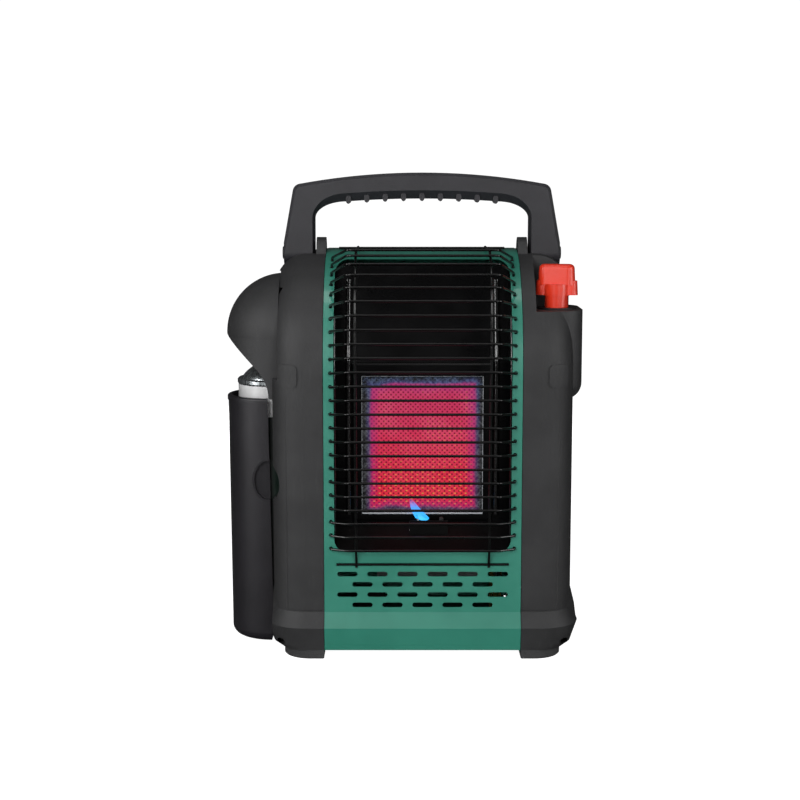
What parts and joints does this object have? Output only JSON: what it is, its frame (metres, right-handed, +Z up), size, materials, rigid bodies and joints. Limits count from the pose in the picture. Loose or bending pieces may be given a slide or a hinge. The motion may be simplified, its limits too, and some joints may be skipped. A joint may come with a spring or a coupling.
{
  "type": "portable propane heater",
  "caption": "Portable radiant gas heater: glowing ceramic burner behind a wire guard, folding handle, push-and-turn control knob and a screw-on cartridge behind a side door.",
  "frame": {"origin": "on the floor, under the middle of the heater's bounding box", "axes": "+Z up, +X to the heater's right as seen from the front, +Y from front to back"},
  "size_m": [0.337, 0.227, 0.4515],
  "materials": {
    "green_paint": "semi-gloss green enamel on sheet steel",
    "black_paint": "satin black paint",
    "black_enamel": "gloss black heat-proof enamel",
    "black_wire": "gloss black enamelled wire",
    "zinc_steel": "zinc-plated steel",
    "tile_ceramic": "perforated ceramic tile, glowing",
    "gasket_fibre": "fibre gasket",
    "grey_plastic": "satin dark grey moulded plastic",
    "handle_plastic": "satin dark grey moulded plastic",
    "door_plastic": "smooth black moulded plastic",
    "black_plastic": "black moulded plastic",
    "white_plastic": "white moulded plastic",
    "dial_plastic": "black moulded ring",
    "red_plastic": "semi-gloss red moulded plastic",
    "can_white": "gloss white printed tinplate",
    "can_metal": "bare tinplate",
    "brass": "plain brass",
    "cast_alloy": "die-cast alloy",
    "pipe_alloy": "drawn aluminium pipe",
    "white_ceramic": "glazed ceramic insulator",
    "foot_rubber": "black rubber",
    "black_screw": "black oxide steel"
  },
  "bodies": {
    "base": {"front_panel": "green_paint", "rear_panel": "green_paint", "base_plate": "black_paint", "left_side_plate": "zinc_steel", "right_side_plate": "zinc_steel", "guard": "black_wire", "hearth_plate": "black_enamel", "burner_frame": "black_enamel", "reflector_hood": "black_enamel", "reflector_lip": "black_enamel", "reflector_left": "black_enamel", "reflector_right": "black_enamel", "ceramic_tile": "tile_ceramic", "burner_tray": "zinc_steel", "tile_gasket": "gasket_fibre", "mixing_tube": "zinc_steel", "heat_shield": "zinc_steel", "right_housing": "grey_plastic", "left_housing": "grey_plastic", "regulator_hood": "grey_plastic", "cartridge_socket": "brass", "regulator_body": "cast_alloy", "regulator_cap": "cast_alloy", "supply_tube": "pipe_alloy", "burner_tube": "pipe_alloy", "pilot_tube": "pipe_alloy", "jet_holder": "brass", "pilot_bracket": "zinc_steel", "pilot_nozzle": "brass", "thermocouple": "brass", "spark_electrode": "white_ceramic", "valve_body": "cast_alloy", "igniter_body": "black_plastic", "dial_ring": "dial_plastic", "tilt_switch": "black_plastic", "door_hinge_pin": "zinc_steel", "handle_pin_left": "black_plastic", "handle_pin_right": "black_plastic", "foot_front_left": "foot_rubber", "foot_front_right": "foot_rubber", "foot_rear_left": "foot_rubber", "foot_rear_right": "foot_rubber", "screw_left": "black_screw", "screw_right": "black_screw"},
    "handle": {"handle": "handle_plastic"},
    "plug": {"valve_plug": "brass", "knob_spring": "zinc_steel"},
    "knob": {"control_knob": "red_plastic", "valve_spindle": "zinc_steel"},
    "igniter": {"igniter_plunger": "white_plastic", "push_yoke": "zinc_steel"},
    "door": {"cartridge_door": "door_plastic"},
    "cartridge": {"cartridge_can": "can_white", "cartridge_shoulder": "can_metal", "cartridge_valve": "brass"}
  },
  "joints": [
    {"name": "handle_fold", "type": "hinge", "parent": "base", "child": "handle", "pos_m": [0.01825, 0.0085, 0.375], "axis": [-1, 0, 0], "range_deg": [0, 68]},
    {"name": "knob_turn", "type": "hinge", "parent": "base", "child": "plug", "pos_m": [0.14475, -0.0355, 0.3], "axis": [0, 0, 1], "range_deg": [-180, 0]},
    {"name": "knob_push", "type": "slide", "parent": "plug", "child": "knob", "axis": [0, 0, -1], "range_m": [0, 0.004], "stiffness_N_per_m": 500, "springref_m": -0.005, "deforming": ["knob_spring"]},
    {"name": "igniter_press", "type": "slide", "parent": "base", "child": "igniter", "axis": [0, 0, -1], "range_m": [0, 0.004]},
    {"name": "door_swing", "type": "hinge", "parent": "base", "child": "door", "pos_m": [-0.12695, 0.037, 0.12], "axis": [0, 0, -1], "range_deg": [0, 100]},
    {"name": "cartridge_unscrew", "type": "slide", "parent": "base", "child": "cartridge", "axis": [0, 0, -1], "range_m": [0, 0.008]}
  ],
  "couplings": [
    {"joint": "igniter_press", "follows": "knob_push", "ratio": 1}
  ]
}
